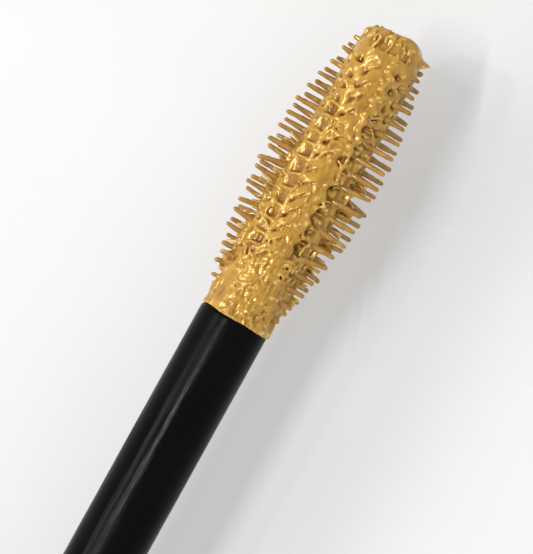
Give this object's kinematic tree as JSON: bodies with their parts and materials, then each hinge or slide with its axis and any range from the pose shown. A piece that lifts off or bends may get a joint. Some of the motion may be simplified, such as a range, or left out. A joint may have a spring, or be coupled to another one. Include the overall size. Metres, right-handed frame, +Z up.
{
  "type": "mascara tube",
  "caption": "Round mascara lying open: threaded bottle with wiper and product, and a cap whose rod carries a moulded bristle brush coated with gold paste.",
  "frame": {"origin": "centre of the open mascara's length and width, on the surface that it lies on", "axes": "+X along the axis, from the bottle's base to the cap's top; +Z up; +Y across"},
  "size_m": [0.2026, 0.017, 0.017],
  "materials": {
    "vial": "satin moulded polypropylene",
    "shell": "satin black lacquered aluminium",
    "moulding": "satin moulded plastic",
    "label": "printed paper, blank",
    "gold_ring": "gold anodised, polished",
    "wiper": "soft translucent elastomer",
    "product": "glossy gold paste",
    "washer": "closed-cell foam",
    "weight": "zinc-plated steel",
    "rod": "satin black moulded plastic, handled",
    "core": "moulded plastic",
    "bristles": "moulded elastomer coated with gold paste"
  },
  "bodies": {
    "bottle": {"bottle_vial": "vial", "bottle_shell": "shell", "base_plug": "moulding", "shade_label": "label", "shoulder_collar": "gold_ring", "wiper": "wiper", "product_fill": "product"},
    "seal": {"seal_washer": "washer"},
    "wand": {"cap_shell": "shell", "cap_liner": "moulding", "cap_ring": "gold_ring", "cap_weight": "weight", "cap_top_disc": "gold_ring", "wand_rod": "rod", "brush_core": "core", "bristle_sleeve": "bristles", "product_coat": "product"}
  },
  "joints": [
    {"name": "wand_draw", "type": "slide", "parent": "bottle", "child": "seal", "axis": [-1, 0, 0], "range_m": [0, 0.0803], "deforming": ["wiper"]},
    {"name": "cap_turn", "type": "hinge", "parent": "seal", "child": "wand", "pos_m": [0.04625, 0, 0.0085], "axis": [-1, 0, 0], "range_deg": [0, 90]}
  ]
}
